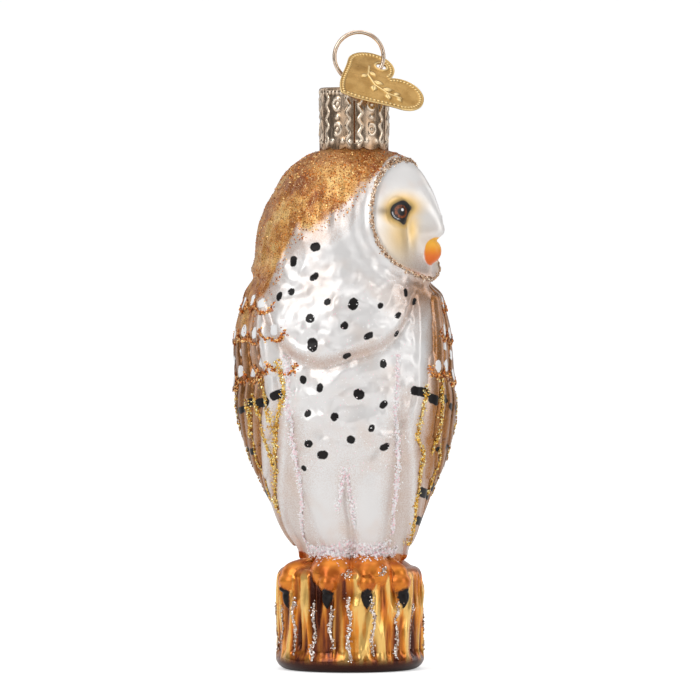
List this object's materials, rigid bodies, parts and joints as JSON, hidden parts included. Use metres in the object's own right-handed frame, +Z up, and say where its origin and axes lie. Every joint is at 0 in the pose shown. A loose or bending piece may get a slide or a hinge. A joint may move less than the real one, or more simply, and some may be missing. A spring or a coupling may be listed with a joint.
{
  "type": "owl figurine",
  "caption": "Hanging blown glass barn owl on a tree stump, with metal neck cap, wire loop, heart tag and glitter trim.",
  "frame": {"origin": "centre of the flat underside of the stump", "axes": "+Z up, the breast faces -Y, the turned head looks towards +X"},
  "size_m": [0.0434, 0.035, 0.1213],
  "materials": {
    "painted_glass": "silvered inside, pearl white and amber lacquer outside",
    "cap_metal": "pale gold plated stamped sheet",
    "hanger_wire": "pale gold plated spring wire",
    "tag_brass": "satin gold stamped sheet",
    "glitter_champagne": "metallic glitter in clear glue",
    "glitter_gold": "metallic glitter in clear glue",
    "glitter_copper": "metallic glitter in clear glue",
    "glitter_white": "iridescent glitter in clear glue",
    "glitter_silver_brown": "metallic glitter in clear glue"
  },
  "bodies": {
    "glass": {"glass_owl": "painted_glass", "glitter_face_rim": "glitter_champagne", "glitter_wing_quills": "glitter_gold", "glitter_wing_scallops": "glitter_copper", "glitter_breast": "glitter_white", "glitter_bark": "glitter_silver_brown"},
    "cap": {"cap": "cap_metal"},
    "hanger": {"wire_hanger": "hanger_wire"},
    "tag": {"heart_tag": "tag_brass"}
  },
  "joints": [
    {"name": "cap_turn", "type": "hinge", "parent": "glass", "child": "cap", "pos_m": [0.0008, 0, 0.104], "axis": [0, 0, 1], "continuous": true},
    {"name": "hanger_draw", "type": "slide", "parent": "cap", "child": "hanger", "axis": [0, 0, 1], "range_m": [0, 0.003]},
    {"name": "tag_swing", "type": "hinge", "parent": "hanger", "child": "tag", "pos_m": [0.00591, 0, 0.11434], "axis": [0.4226, 0, 0.9063], "range_deg": [-20, 160]}
  ]
}
